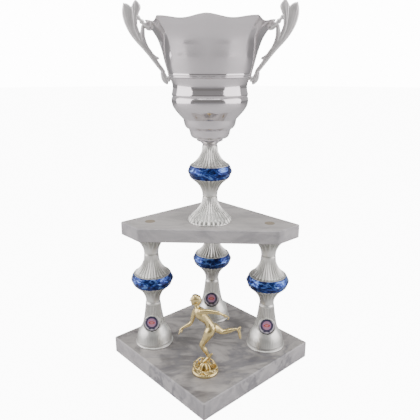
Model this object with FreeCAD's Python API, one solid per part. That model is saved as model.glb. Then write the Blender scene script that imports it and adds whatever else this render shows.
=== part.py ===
import FreeCAD, Part
import math
import os
from FreeCAD import Vector

# A free-standing cup trophy, in millimetres.  +Z is up, and the origin is the
# centre of the base slab's underside.  The base is a square turned so that one
# corner points forward (-Y).  Three columns carry a smaller stone slab, and a
# stem on that slab carries the two-handled cup.  Threaded rods clamp each stack.

# ---- base slab -------------------------------------------------------------
BASE_SIDE = 232.6
BASE_THICK = 29.0
ARRIS = 1.4                     # small chamfer on every sawn stone edge

# ---- upper slab ------------------------------------------------------------
SLAB_UNDER = 220.2              # height of its underside
SLAB_THICK = 21.8
SLAB_HALF_WIDTH = 140.5         # centre line to the left and right corners
SLAB_CORNER_Y = -10.2           # the left and right corners
SLAB_FRONT_Y = -43.9            # the straight front edge
SLAB_TOP = SLAB_UNDER + SLAB_THICK

# ---- column and stem axes (x, y) -------------------------------------------
COLUMNS = {"left": (-93.9, -6.6), "right": (93.9, -6.6), "back": (0.0, 83.1)}
STEM_XY = (0.0, 4.7)
FIGURE_XY = (-2.5, -89.0)

TOUCHING = 1e-6                 # lengths below this count as nothing
WIDE = 200.0                    # radius of a cutting tool that clears any piece

# ---- heights of one column's pieces ----------------------------------------
RISER_HEIGHT = 75.0
GOBLET_HEIGHT = 31.8
RING_HEIGHT = 19.0
CONE_HEIGHT = 34.0
GOBLET_Z = BASE_THICK + RISER_HEIGHT
RING_Z = GOBLET_Z + GOBLET_HEIGHT
CONE_Z = RING_Z + RING_HEIGHT
TOP_GOBLET_Z = CONE_Z + CONE_HEIGHT
TOP_GOBLET_HEIGHT = SLAB_UNDER - TOP_GOBLET_Z

# ---- heights of the stem's pieces ------------------------------------------
FOOT_HEIGHT = 40.4
STEM_GOBLET_HEIGHT = 30.2
STEM_RING_HEIGHT = 19.0
STEM_CONE_HEIGHT = 31.0
COLLAR_HEIGHT = 9.8
STEM_GOBLET_Z = SLAB_TOP + FOOT_HEIGHT
STEM_RING_Z = STEM_GOBLET_Z + STEM_GOBLET_HEIGHT
STEM_CONE_Z = STEM_RING_Z + STEM_RING_HEIGHT
COLLAR_Z = STEM_CONE_Z + STEM_CONE_HEIGHT
CUP_Z = COLLAR_Z + COLLAR_HEIGHT

# ---- walls of the hollow pieces --------------------------------------------
MOULDED_WALL = 2.0              # plated plastic
FLOOR = 3.0                     # closed end that the rod passes through
CUP_WALL = 1.0                  # spun metal
COLLAR_WALL = 1.5

# ---- coloured rings --------------------------------------------------------
RING_R = 34.6                   # crest at mid-height
RING_FACE_R = 32.4
RING_EDGE_R = 30.3              # where it meets the plated pieces
RING_WEB = 2.4
SPIGOT_R = 22.0                 # short tube that centres the ring in its neighbours
SPIGOT = 2.0

# ---- M6 hardware -----------------------------------------------------------
ROD_R = 3.0
ROD_HOLE_R = 3.4
NUT_FLATS = 10.0
NUT_HEIGHT = 5.0
NUT_BORE_R = 3.05
WASHER_R = 6.0
CUP_WASHER_R = 12.0             # wide washer that spreads the load on thin metal
WASHER_THICK = 1.6
SINK_R = 8.1                    # counterbore round a nut and washer
SINK_DEPTH = 12.0
CAP_R = 8.0                     # plug that covers the upper slab's counterbores
CAP_THICK = 2.0
CAP_SKIRT = 1.2
ROD_PAST_NUT = 1.5
ROD_TIP = 0.6                   # chamfer at each end

# ---- badge on each riser ---------------------------------------------------
BADGE_R = 12.7
BADGE_THICK = 1.4
BADGE_DOME = 0.5                # how far the middle of its face stands out
BADGE_GAP = 0.1
BADGE_TILT = 12.0               # degrees the face leans back
BADGE_UP = 42.0                 # its centre above the base slab
BADGE_OUT = 20.5                # its face in front of the column's axis
BOSS_R = 14.4
BOSS_DEPTH = 15.0

# ---- cup -------------------------------------------------------------------
CORNERS = 8
ROUND_TOP = 486.8               # below this the bowl is round
RIM_Z = 539.1
HANDLE_THICK = 6.0
SCREW_R = 1.5
SCREW_HOLE_R = 1.55
SCREW_LENGTH = 8.0
SCREW_HEAD_R = 2.8
SCREW_HEAD_HEIGHT = 2.0

# ---- figure ----------------------------------------------------------------
STUD_IN_PLINTH = 9.0


def export(shape, name):
    os.makedirs("parts", exist_ok=True)
    shape.exportStep("parts/" + name + ".step")


def outline_edges(stretches, y=0.0):
    """Edges in the plane at y, one per stretch of (x, z) points.

    Two points are a straight line, and more are one smooth curve through them.
    """
    edges = []
    for stretch in stretches:
        points = [Vector(x, y, z) for x, z in stretch]
        if len(points) == 2:
            edges.append(Part.LineSegment(*points).toShape())
        else:
            curve = Part.BSplineCurve()
            curve.interpolate(points)
            edges.append(curve.toShape())
    return edges


def turned(*stretches):
    """Solid of revolution about Z of stretches of (radius, height), closed to the axis."""
    edges = outline_edges(stretches)
    first = stretches[0][0]
    last = stretches[-1][-1]
    corners = [Vector(last[0], 0, last[1]), Vector(0, 0, last[1]),
               Vector(0, 0, first[1]), Vector(first[0], 0, first[1])]
    for a, b in zip(corners, corners[1:]):
        if a.distanceToPoint(b) > TOUCHING:
            edges.append(Part.LineSegment(a, b).toShape())
    face = Part.Face(Part.Wire(Part.__sortEdges__(edges)))
    return face.revolve(Vector(0, 0, 0), Vector(0, 0, 1), 360)


def moved(stretches, dr, dz, scale=1.0):
    """The same stretches with heights scaled, then shifted in radius and height."""
    return [[(r + dr, z * scale + dz) for r, z in stretch] for stretch in stretches]


def at(shape, xy, z=0.0):
    placed = shape.copy()
    placed.translate(Vector(xy[0], xy[1], z))
    return placed


def cylinder(r, z0, z1, xy=(0.0, 0.0)):
    return Part.makeCylinder(r, z1 - z0, Vector(xy[0], xy[1], z0))


# ---- stone -----------------------------------------------------------------

def stone(outline, z0, thick):
    """A slab sawn to a straight-sided outline, with a small arris all round."""
    wire = Part.makePolygon([Vector(x, y, z0) for x, y in outline + outline[:1]])
    slab = Part.Face(wire).extrude(Vector(0, 0, thick))
    return slab.makeChamfer(ARRIS, slab.Edges)


def base_slab():
    half = BASE_SIDE / math.sqrt(2.0)
    slab = stone([(0, -half), (half, 0), (0, half), (-half, 0)], 0.0, BASE_THICK)
    for xy in list(COLUMNS.values()) + [FIGURE_XY]:
        slab = slab.cut(cylinder(ROD_HOLE_R, 0.0, BASE_THICK, xy))
        slab = slab.cut(cylinder(SINK_R, 0.0, SINK_DEPTH, xy))
    return slab


def upper_slab():
    back_y = SLAB_CORNER_Y + SLAB_HALF_WIDTH
    front_x = SLAB_HALF_WIDTH - (SLAB_CORNER_Y - SLAB_FRONT_Y)
    outline = [(-front_x, SLAB_FRONT_Y), (front_x, SLAB_FRONT_Y),
               (SLAB_HALF_WIDTH, SLAB_CORNER_Y), (0, back_y),
               (-SLAB_HALF_WIDTH, SLAB_CORNER_Y)]
    slab = stone(outline, SLAB_UNDER, SLAB_THICK)
    for xy in COLUMNS.values():
        slab = slab.cut(cylinder(ROD_HOLE_R, SLAB_UNDER, SLAB_TOP, xy))
        slab = slab.cut(cylinder(SINK_R, SLAB_TOP - SINK_DEPTH, SLAB_TOP, xy))
    slab = slab.cut(cylinder(ROD_HOLE_R, SLAB_UNDER, SLAB_TOP, STEM_XY))
    return slab.cut(cylinder(SINK_R, SLAB_UNDER, SLAB_UNDER + SINK_DEPTH, STEM_XY))


# ---- moulded column and stem pieces ----------------------------------------

GOBLET_OUTLINE = [[(10.6, 0.0), (11.9, 1.4)],
                  [(11.9, 1.4), (12.9, 8.8), (16.4, 16.8), (22.9, 24.8), (30.3, 31.8)]]
CONE_OUTLINE = [[(29.8, 0.0), (29.8, 0.8)],
                [(29.8, 0.8), (23.0, 6.6), (16.8, 14.2), (13.1, 22.6), (12.2, 28.0),
                 (11.9, 32.6)],
                [(11.9, 32.6), (10.6, 34.0)]]
FOOT_OUTLINE = [[(34.7, 0.0), (34.7, 1.6)],
                [(34.7, 1.6), (29.7, 9.4), (20.6, 18.8), (14.0, 28.5), (12.4, 35.0),
                 (11.9, 40.6)],
                [(11.9, 40.6), (10.6, 42.0)]]
RISER_OUTLINE = [[(31.3, 0.0), (31.3, 1.8)],
                 [(31.3, 1.8), (30.1, 2.6)],
                 [(30.1, 2.6), (29.9, 6.4)],
                 [(29.9, 6.4), (28.5, 13.2), (25.4, 21.6), (21.6, 27.6), (19.3, 32.2)],
                 [(19.3, 32.2), (18.2, 36.0), (16.2, 45.5), (14.3, 57.0), (12.3, 72.6)],
                 [(12.3, 72.6), (10.8, 75.0)]]


def flaring_up(outline, height):
    """A hollow piece, narrow and closed below, open above, stretched to its height."""
    tall = height / outline[-1][-1][1]
    solid = turned(*moved(outline, 0.0, 0.0, tall))
    hollow = turned(*moved(outline, -MOULDED_WALL, MOULDED_WALL, tall))
    floor = cylinder(WIDE, -FLOOR, FLOOR)
    solid = solid.cut(hollow.cut(floor))
    return solid.cut(cylinder(ROD_HOLE_R, 0.0, height))


def flaring_down(outline, height):
    """A hollow piece, wide and open below, narrow and closed above, stretched likewise."""
    tall = height / outline[-1][-1][1]
    solid = turned(*moved(outline, 0.0, 0.0, tall))
    hollow = turned(*moved(outline, -MOULDED_WALL, -MOULDED_WALL, tall))
    roof = cylinder(WIDE, height - FLOOR, height + FLOOR)
    solid = solid.cut(hollow.cut(roof))
    return solid.cut(cylinder(ROD_HOLE_R, 0.0, height))


def goblet(height):
    return flaring_up(GOBLET_OUTLINE, height)


def cone(height):
    return flaring_down(CONE_OUTLINE, height)


def stem_foot():
    return flaring_down(FOOT_OUTLINE, FOOT_HEIGHT)


def ring(height):
    """Band with a crest at mid-height, a web across it and a spigot at each end."""
    mid = height / 2
    low = [(RING_EDGE_R, 0.0), (RING_FACE_R, 3.2), (RING_FACE_R + 0.6, mid - 2.2), (RING_R, mid)]
    high = [(r, height - z) for r, z in reversed(low)]
    solid = turned(low, high)
    solid = solid.fuse(cylinder(SPIGOT_R, -SPIGOT, height + SPIGOT))
    inner_r = SPIGOT_R - MOULDED_WALL
    solid = solid.cut(cylinder(inner_r, -SPIGOT, mid - RING_WEB / 2))
    solid = solid.cut(cylinder(inner_r, mid + RING_WEB / 2, height + SPIGOT))
    return solid.cut(cylinder(ROD_HOLE_R, 0.0, height)).removeSplitter()


def badge_face():
    """Centre of the badge's front face and the way it looks, on a column's own axis."""
    lean = math.radians(BADGE_TILT)
    return Vector(0, -BADGE_OUT, BADGE_UP), Vector(0, -math.cos(lean), math.sin(lean))


def riser():
    """Tapered foot with a round boss, recessed for the badge."""
    centre, out = badge_face()
    solid = turned(*RISER_OUTLINE)
    boss = Part.makeCylinder(BOSS_R, BOSS_DEPTH, centre - out * BOSS_DEPTH, out)
    recess = Part.makeCylinder(BADGE_R + BADGE_GAP, BOSS_DEPTH, centre - out * BADGE_THICK, out)
    hollow = turned(*moved(RISER_OUTLINE, -MOULDED_WALL, -MOULDED_WALL))
    roof = cylinder(WIDE, RISER_HEIGHT - FLOOR, RISER_HEIGHT + FLOOR)
    solid = solid.fuse(boss)
    solid = solid.cut(hollow.cut(roof).cut(boss))
    solid = solid.cut(recess)
    return solid.cut(cylinder(ROD_HOLE_R, 0.0, RISER_HEIGHT))


def badge():
    """Domed disc that fills the riser's recess."""
    centre, out = badge_face()
    disc = turned([(BADGE_R, 0.0), (BADGE_R, BADGE_THICK)],
                  [(BADGE_R, BADGE_THICK), (BADGE_R * 0.6, BADGE_THICK + BADGE_DOME * 0.64),
                   (0.0, BADGE_THICK + BADGE_DOME)])
    disc.rotate(Vector(0, 0, 0), Vector(1, 0, 0), 90.0 - BADGE_TILT)
    back = centre - out * BADGE_THICK
    return at(disc, (back.x, back.y), back.z)


# ---- threaded rods, nuts and washers ---------------------------------------

def nut(z):
    across_corners = NUT_FLATS / math.cos(math.pi / 6)
    hexagon = [Vector(across_corners / 2 * math.cos(math.radians(a)),
                      across_corners / 2 * math.sin(math.radians(a)), z)
               for a in range(0, 361, 60)]
    body = Part.Face(Part.makePolygon(hexagon)).extrude(Vector(0, 0, NUT_HEIGHT))
    return body.cut(cylinder(NUT_BORE_R, z, z + NUT_HEIGHT))


def washer(z, r=WASHER_R):
    return cylinder(r, z, z + WASHER_THICK).cut(cylinder(ROD_HOLE_R, z, z + WASHER_THICK))


def rod(z0, z1):
    return turned([(ROD_R - ROD_TIP, z0), (ROD_R, z0 + ROD_TIP)],
                  [(ROD_R, z0 + ROD_TIP), (ROD_R, z1 - ROD_TIP)],
                  [(ROD_R, z1 - ROD_TIP), (ROD_R - ROD_TIP, z1)])


def hole_cap():
    """Plug, flush with the slab, whose skirt stands on the counterbore's floor."""
    cap = cylinder(CAP_R, SLAB_TOP - SINK_DEPTH, SLAB_TOP)
    return cap.cut(cylinder(CAP_R - CAP_SKIRT, SLAB_TOP - SINK_DEPTH, SLAB_TOP - CAP_THICK))


# ---- cup and handles -------------------------------------------------------

COLLAR_OUTLINE = [[(11.2, 0.0), (11.8, 1.6), (14.6, 4.2), (18.0, 6.0)],
                  [(18.0, 6.0), (19.6, 7.2)],
                  [(19.6, 7.2), (20.2, 9.8)]]
# Radii and heights above the floor: three swelling tiers, a waist and a bead.
BOWL_OUTLINE = [[(21.8, 372.4), (27.3, 374.7), (29.8, 380.3), (31.9, 386.6)],
                [(31.9, 386.6), (36.6, 390.0), (38.8, 396.3), (39.9, 401.4)],
                [(39.9, 401.4), (47.3, 410.3), (54.8, 420.5), (56.6, 427.8), (56.2, 433.4)],
                [(56.2, 433.4), (55.4, 434.4)],
                [(55.4, 434.4), (55.9, 436.8), (54.6, 444.6), (55.6, 451.8), (58.4, 460.4)],
                [(58.4, 460.4), (60.6, 462.4), (60.8, 465.4)],
                [(60.8, 465.4), (64.6, 478.6), (66.5, ROUND_TOP)]]
# (height, radius at a corner, radius half-way between corners)
FLARE = [(ROUND_TOP, 66.5, 66.5), (503.6, 72.2, 70.2), (521.6, 81.3, 75.4), (RIM_Z, 93.0, 82.4)]


def cup_collar():
    """Small spun dish between the stem and the bowl."""
    solid = turned(*COLLAR_OUTLINE)
    hollow = turned(*moved(COLLAR_OUTLINE, -COLLAR_WALL, COLLAR_WALL))
    solid = solid.cut(hollow.cut(cylinder(WIDE, -FLOOR, FLOOR)))
    return solid.cut(cylinder(ROD_HOLE_R, 0.0, COLLAR_HEIGHT))


def cornered_section(z, corner_r, middle_r):
    """Closed wire of arcs, each from corner to corner through the middle of a panel."""
    step = 2 * math.pi / CORNERS

    def point(turn, r):
        angle = turn * step - math.pi / 2
        return Vector(r * math.cos(angle), r * math.sin(angle), z)

    arcs = [Part.Arc(point(i, corner_r), point(i + 0.5, middle_r), point(i + 1, corner_r)).toShape()
            for i in range(CORNERS)]
    return Part.Wire(arcs)


def bowl_solid(inwards=0.0):
    """The bowl filled in, or its hollow when moved inwards and up by the wall."""
    lower = turned(*moved(BOWL_OUTLINE, -inwards, inwards))
    sections = [cornered_section(z + inwards, corner - inwards, middle - inwards)
                for z, corner, middle in FLARE]
    upper = Part.makeLoft(sections, True)
    return lower.fuse(upper)


def cup_bowl(filled):
    bowl = filled.cut(bowl_solid(CUP_WALL))
    bowl = bowl.cut(cylinder(ROD_HOLE_R, CUP_Z - CUP_WALL, CUP_Z + 2 * CUP_WALL))
    for x, z in HANDLE_SCREWS:
        hole = Part.makeCylinder(SCREW_HOLE_R, 2 * x, Vector(-x, 0, z), Vector(1, 0, 0))
        bowl = bowl.cut(hole)
    return at(bowl, STEM_XY)


# Right-hand handle in the cup's own XZ plane: (x, z) with the cup's axis at x = 0.
HANDLE_OUTLINE = [[(122.4, 562.0), (123.6, 552.2), (122.0, 540.2), (116.6, 525.9),
                   (107.8, 512.0), (96.2, 499.4), (85.8, 486.7), (73.0, 471.5), (69.3, 466.2)],
                  [(69.3, 466.2), (69.0, 459.2)],
                  [(69.0, 459.2), (63.3, 450.5)],
                  [(63.3, 450.5), (50.0, 454.8)],
                  [(50.0, 454.8), (50.0, 464.8)],
                  [(50.0, 464.8), (61.5, 465.1)],
                  [(61.5, 465.1), (70.0, 474.8), (76.2, 483.2)],
                  [(76.2, 483.2), (71.8, 486.2)],
                  [(71.8, 486.2), (77.7, 488.6), (84.2, 494.0), (90.5, 502.4), (94.2, 514.0),
                   (94.1, 525.3)],
                  [(94.1, 525.3), (80.0, 525.3)],
                  [(80.0, 525.3), (80.0, 533.2)],
                  [(80.0, 533.2), (91.0, 533.7)],
                  [(91.0, 533.7), (101.6, 543.7)],
                  [(101.6, 543.7), (100.2, 550.2), (97.1, 556.2)],
                  [(97.1, 556.2), (99.0, 561.2), (104.6, 566.2)],
                  [(104.6, 566.2), (111.9, 556.3)],
                  [(111.9, 556.3), (122.4, 562.0)]]
HANDLE_SLOT = [(103.0, 535.6), (98.2, 531.5), (100.5, 521.2), (104.1, 525.3)]
HANDLE_SCREWS = [(58.0, 458.4), (85.2, 529.4)]


def handle(filled, side):
    """Flat cast handle, its two feet shaped to the bowl and drilled for a screw each."""
    edges = outline_edges(HANDLE_OUTLINE, -HANDLE_THICK / 2)
    body = Part.Face(Part.Wire(edges)).extrude(Vector(0, HANDLE_THICK, 0))
    slot = [Vector(x, -HANDLE_THICK, z) for x, z in HANDLE_SLOT + HANDLE_SLOT[:1]]
    body = body.cut(Part.Face(Part.makePolygon(slot)).extrude(Vector(0, 2 * HANDLE_THICK, 0)))
    body = body.cut(filled)
    for x, z in HANDLE_SCREWS:
        drill = Part.makeCylinder(SCREW_HOLE_R, 2 * SCREW_LENGTH, Vector(x - SCREW_LENGTH, 0, z),
                                  Vector(1, 0, 0))
        body = body.cut(drill)
    body = max(body.Solids, key=lambda solid: solid.Volume)
    if side < 0:
        body = body.mirror(Vector(0, 0, 0), Vector(1, 0, 0))
    return at(body, STEM_XY)


def handle_screws(hollow, side):
    """Two pan-head screws driven from inside the bowl."""
    screws = []
    for x, z in HANDLE_SCREWS:
        start = Vector(x - CUP_WALL - SCREW_HEAD_HEIGHT, 0, z)
        head = Part.makeCylinder(SCREW_HEAD_R, SCREW_HEAD_HEIGHT + CUP_WALL, start,
                                 Vector(1, 0, 0)).common(hollow)
        shank = Part.makeCylinder(SCREW_R, SCREW_LENGTH + SCREW_HEAD_HEIGHT,
                                  start + Vector(CUP_WALL, 0, 0), Vector(1, 0, 0))
        screw = head.fuse(shank).removeSplitter()
        if side < 0:
            screw = screw.mirror(Vector(0, 0, 0), Vector(1, 0, 0))
        screws.append(at(screw, STEM_XY))
    return Part.makeCompound(screws)


# ---- figure ----------------------------------------------------------------

# Round plinth with a rim, a plain tier and a mound, as (radius, height above the base slab).
PLINTH_OUTLINE = [[(18.9, 0.0), (20.1, 1.2)],
                  [(20.1, 1.2), (20.1, 4.0)],
                  [(20.1, 4.0), (18.1, 5.4)],
                  [(18.1, 5.4), (17.5, 8.4)],
                  [(17.5, 8.4), (15.1, 11.8), (9.0, 16.0)]]
# Joints of the runner as (x, y, z), leaning forward along -X on the left leg.
JOINTS = {"crown": (-17.0, -89.0, 152.1), "chin": (-18.6, -89.0, 146.4),
          "neck": (-14.0, -89.5, 136.8), "chest": (-9.5, -89.5, 126.8),
          "waist": (1.0, -89.0, 114.8), "pelvis": (6.5, -89.0, 104.3),
          "left_shoulder": (-8.0, -97.5, 135.3), "left_elbow": (13.5, -101.5, 136.8),
          "left_wrist": (24.0, -101.0, 132.8), "left_hand": (29.5, -100.5, 129.3),
          "right_shoulder": (-16.5, -82.0, 129.3), "right_elbow": (-23.5, -79.0, 106.3),
          "right_wrist": (-36.0, -81.0, 98.8), "right_hand": (-42.0, -82.0, 92.3),
          "left_hip": (5.5, -93.0, 101.8), "left_knee": (-7.0, -92.0, 75.3),
          "left_ankle": (3.5, -89.5, 53.3), "left_heel": (8.0, -89.0, 52.3),
          "left_toe": (-5.0, -89.5, 45.3),
          "right_hip": (8.5, -85.0, 103.3), "right_knee": (24.0, -82.5, 93.8),
          "right_ankle": (43.0, -83.0, 99.3), "right_heel": (49.0, -83.0, 100.8),
          "right_toe": (49.5, -84.0, 85.3)}
# (joint, joint, radius at the first, radius at the second).  Where two limbs share a
# joint their radii differ a little, so that no two balls have one surface.
LIMBS = [("crown", "chin", 7.2, 4.8), ("chin", "neck", 3.6, 3.4), ("neck", "chest", 5.0, 8.2),
         ("chest", "waist", 7.9, 6.2), ("waist", "pelvis", 6.4, 7.6),
         ("left_shoulder", "right_shoulder", 4.5, 4.4),
         ("left_shoulder", "left_elbow", 4.1, 2.9), ("left_elbow", "left_wrist", 3.1, 1.9),
         ("left_wrist", "left_hand", 2.1, 2.4),
         ("right_shoulder", "right_elbow", 4.1, 2.9), ("right_elbow", "right_wrist", 3.1, 1.9),
         ("right_wrist", "right_hand", 2.2, 1.6),
         ("left_hip", "left_knee", 6.8, 4.2), ("left_knee", "left_ankle", 4.4, 2.5),
         ("left_ankle", "left_heel", 2.7, 2.4), ("left_heel", "left_toe", 2.6, 2.2),
         ("right_hip", "right_knee", 6.8, 4.2), ("right_knee", "right_ankle", 4.4, 2.4),
         ("right_ankle", "right_heel", 2.6, 2.4), ("right_heel", "right_toe", 2.2, 1.8)]


def limb(start, end, start_r, end_r):
    """Tapered limb, a cone that runs smoothly into a ball at each end, turned in one go."""
    along = Vector(*end) - Vector(*start)
    lean = math.asin((start_r - end_r) / along.Length)

    def on_ball(r, height, turn):
        return Vector(r * math.cos(turn), 0, height + r * math.sin(turn))

    low = Vector(0, 0, -start_r)
    low_join = on_ball(start_r, 0, lean)
    high_join = on_ball(end_r, along.Length, lean)
    high = Vector(0, 0, along.Length + end_r)
    low_arc = Part.Arc(low, on_ball(start_r, 0, (lean - math.pi / 2) / 2), low_join)
    high_arc = Part.Arc(high_join, on_ball(end_r, along.Length, (lean + math.pi / 2) / 2), high)
    edges = [low_arc, Part.LineSegment(low_join, high_join), high_arc, Part.LineSegment(high, low)]
    profile = Part.Face(Part.Wire([edge.toShape() for edge in edges]))
    solid = profile.revolve(Vector(0, 0, 0), Vector(0, 0, 1), 360)
    turn = FreeCAD.Rotation(Vector(0, 0, 1), along)
    solid.Placement = FreeCAD.Placement(Vector(*start), turn)
    return solid


def runner_figure():
    """Moulded runner and its round plinth, one casting."""
    limbs = [limb(JOINTS[first], JOINTS[second], first_r, second_r)
             for first, second, first_r, second_r in LIMBS]
    plinth = at(turned(*PLINTH_OUTLINE), FIGURE_XY, BASE_THICK)
    figure = plinth.multiFuse(limbs)
    return figure.cut(cylinder(ROD_R, BASE_THICK, BASE_THICK + STUD_IN_PLINTH, FIGURE_XY))


def placed_group(make, xys):
    return Part.makeCompound([at(make(), xy) for xy in xys])


def main():
    export(base_slab(), "base_slab")
    export(upper_slab(), "upper_slab")

    for side, xy in COLUMNS.items():
        export(at(riser(), xy, BASE_THICK), side + "_riser")
        export(at(badge(), xy, BASE_THICK), side + "_badge")
        export(at(goblet(GOBLET_HEIGHT), xy, GOBLET_Z), side + "_lower_goblet")
        export(at(ring(RING_HEIGHT), xy, RING_Z), side + "_ring")
        export(at(cone(CONE_HEIGHT), xy, CONE_Z), side + "_cone")
        export(at(goblet(TOP_GOBLET_HEIGHT), xy, TOP_GOBLET_Z), side + "_upper_goblet")
        low = SINK_DEPTH - WASHER_THICK - NUT_HEIGHT - ROD_PAST_NUT
        high = SLAB_TOP - SINK_DEPTH + WASHER_THICK + NUT_HEIGHT + ROD_PAST_NUT
        export(at(rod(low, high), xy), side + "_rod")
        export(at(hole_cap(), xy), side + "_hole_cap")

    column_xys = list(COLUMNS.values())
    low_washer = SINK_DEPTH - WASHER_THICK
    high_washer = SLAB_TOP - SINK_DEPTH
    export(placed_group(lambda: washer(low_washer), column_xys), "column_washers_below")
    export(placed_group(lambda: nut(low_washer - NUT_HEIGHT), column_xys), "column_nuts_below")
    export(placed_group(lambda: washer(high_washer), column_xys), "column_washers_above")
    export(placed_group(lambda: nut(high_washer + WASHER_THICK), column_xys), "column_nuts_above")

    export(at(stem_foot(), STEM_XY, SLAB_TOP), "stem_foot")
    export(at(goblet(STEM_GOBLET_HEIGHT), STEM_XY, STEM_GOBLET_Z), "stem_goblet")
    export(at(ring(STEM_RING_HEIGHT), STEM_XY, STEM_RING_Z), "stem_ring")
    export(at(cone(STEM_CONE_HEIGHT), STEM_XY, STEM_CONE_Z), "stem_cone")
    slab_washer = SLAB_UNDER + SINK_DEPTH - WASHER_THICK
    cup_washer = CUP_Z + CUP_WALL
    rod_low = slab_washer - NUT_HEIGHT - ROD_PAST_NUT
    rod_high = cup_washer + WASHER_THICK + NUT_HEIGHT + ROD_PAST_NUT
    export(at(rod(rod_low, rod_high), STEM_XY), "stem_rod")
    export(at(washer(slab_washer), STEM_XY), "stem_washer_below")
    export(at(nut(slab_washer - NUT_HEIGHT), STEM_XY), "stem_nut_below")
    export(at(washer(cup_washer, CUP_WASHER_R), STEM_XY), "cup_washer")
    export(at(nut(cup_washer + WASHER_THICK), STEM_XY), "cup_nut")

    export(at(cup_collar(), STEM_XY, COLLAR_Z), "cup_collar")
    filled = bowl_solid()
    hollow = bowl_solid(CUP_WALL)
    export(cup_bowl(filled), "cup_bowl")
    for name, side in (("left", -1), ("right", 1)):
        export(handle(filled, side), name + "_handle")
        export(handle_screws(hollow, side), name + "_handle_screws")

    export(runner_figure(), "runner_figure")
    stud_low = low_washer - NUT_HEIGHT - ROD_PAST_NUT
    export(at(rod(stud_low, BASE_THICK + STUD_IN_PLINTH), FIGURE_XY), "figure_stud")
    export(at(washer(low_washer), FIGURE_XY), "figure_washer")
    export(at(nut(low_washer - NUT_HEIGHT), FIGURE_XY), "figure_nut")


main()
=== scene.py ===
import math

import bpy
import numpy as np
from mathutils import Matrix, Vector


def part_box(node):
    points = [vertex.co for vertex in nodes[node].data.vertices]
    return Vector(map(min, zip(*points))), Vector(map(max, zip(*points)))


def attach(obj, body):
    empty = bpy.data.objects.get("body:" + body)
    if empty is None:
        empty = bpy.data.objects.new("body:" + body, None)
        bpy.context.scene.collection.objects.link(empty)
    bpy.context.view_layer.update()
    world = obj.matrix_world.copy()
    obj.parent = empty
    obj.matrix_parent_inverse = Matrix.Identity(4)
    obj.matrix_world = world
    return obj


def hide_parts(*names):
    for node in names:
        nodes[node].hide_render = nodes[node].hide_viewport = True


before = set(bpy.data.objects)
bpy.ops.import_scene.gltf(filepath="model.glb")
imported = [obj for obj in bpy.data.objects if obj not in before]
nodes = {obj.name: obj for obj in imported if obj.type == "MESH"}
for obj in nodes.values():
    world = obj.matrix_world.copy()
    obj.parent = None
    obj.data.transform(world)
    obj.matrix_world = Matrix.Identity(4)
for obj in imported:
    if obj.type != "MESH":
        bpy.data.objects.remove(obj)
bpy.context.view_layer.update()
MM = 0.001


# ---- studio ----------------------------------------------------------------
# A pale table top, a camera a little below the cup's rim that looks down at the base,
# and three soft boxes: a large one each side and one overhead.

def linear(red, green, blue):
    """A display colour, 0 to 255, as linear light with full opacity."""
    shown = np.array([red, green, blue]) / 255.0
    light = np.where(shown <= 0.04045, shown / 12.92, ((shown + 0.055) / 1.055) ** 2.4)
    return (*light.tolist(), 1.0)


def add(tree, kind, inputs=None, **settings):
    """A new node; an input given as a socket is linked, and any other is set."""
    node = tree.nodes.new("ShaderNode" + kind)
    for key, value in settings.items():
        setattr(node, key, value)
    for key, value in (inputs or {}).items():
        if isinstance(value, bpy.types.NodeSocket):
            tree.links.new(value, node.inputs[key])
        else:
            node.inputs[key].default_value = value
    return node


def maths(tree, operation, *values):
    """The result of one Math node on up to three values or sockets."""
    return add(tree, "Math", dict(enumerate(values)), operation=operation).outputs[0]


def apart(tree, first, second):
    """How far two values are apart."""
    return maths(tree, "ABSOLUTE", maths(tree, "SUBTRACT", first, second))


def blend(tree, share, first, second, mode="MIX"):
    """Colour that goes from first to second as share goes from 0 to 1."""
    mix = add(tree, "Mix", {0: share, 6: first, 7: second}, data_type="RGBA", blend_type=mode)
    return mix.outputs[2]


def between(tree, value, low, high, to_low=0.0, to_high=1.0):
    """The value carried smoothly from one range to another, and held at its ends."""
    inputs = {"Value": value, "From Min": low, "From Max": high, "To Min": to_low,
              "To Max": to_high}
    return add(tree, "MapRange", inputs, interpolation_type="SMOOTHSTEP").outputs["Result"]


def new_material(name):
    """An empty material and its node tree with only the output in it."""
    material = bpy.data.materials.new(name)
    material.use_nodes = True
    tree = material.node_tree
    tree.nodes.clear()
    return material, tree, tree.nodes.new("ShaderNodeOutputMaterial")


def surface(name, points, loop=False, capped=True):
    """Mesh over a grid of points, rows by columns by 3, whose last column meets its first.

    With loop the last row meets the first too. Otherwise each end row is closed by
    triangles to its middle point, when capped.
    """
    rows, columns = points.shape[:2]
    index = np.arange(rows * columns).reshape(rows, columns)
    ahead = np.roll(index, -1, axis=1)
    low, high = (index, np.roll(index, -1, axis=0)) if loop else (index[:-1], index[1:])
    low_ahead, high_ahead = (ahead, np.roll(ahead, -1, axis=0)) if loop else (ahead[:-1], ahead[1:])
    quads = np.stack([low, low_ahead, high_ahead, high], axis=-1).reshape(-1, 4)
    vertices = points.reshape(-1, 3)
    faces = quads.tolist()
    if capped and not loop:
        middles = np.array([points[0].mean(axis=0), points[-1].mean(axis=0)])
        bottom = np.stack([np.full(columns, rows * columns), ahead[0], index[0]], axis=-1)
        top = np.stack([np.full(columns, rows * columns + 1), index[-1], ahead[-1]], axis=-1)
        vertices = np.concatenate([vertices, middles])
        faces += bottom.tolist() + top.tolist()
    mesh = bpy.data.meshes.new(name)
    mesh.from_pydata(vertices.tolist(), [], faces)
    mesh.polygons.foreach_set("use_smooth", np.ones(len(mesh.polygons), bool))
    mesh.update()
    piece = bpy.data.objects.new(name, mesh)
    bpy.context.scene.collection.objects.link(piece)
    return piece


def once_round(count):
    """count even angles of one full turn."""
    return np.linspace(0.0, 2 * np.pi, count, endpoint=False)


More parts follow.
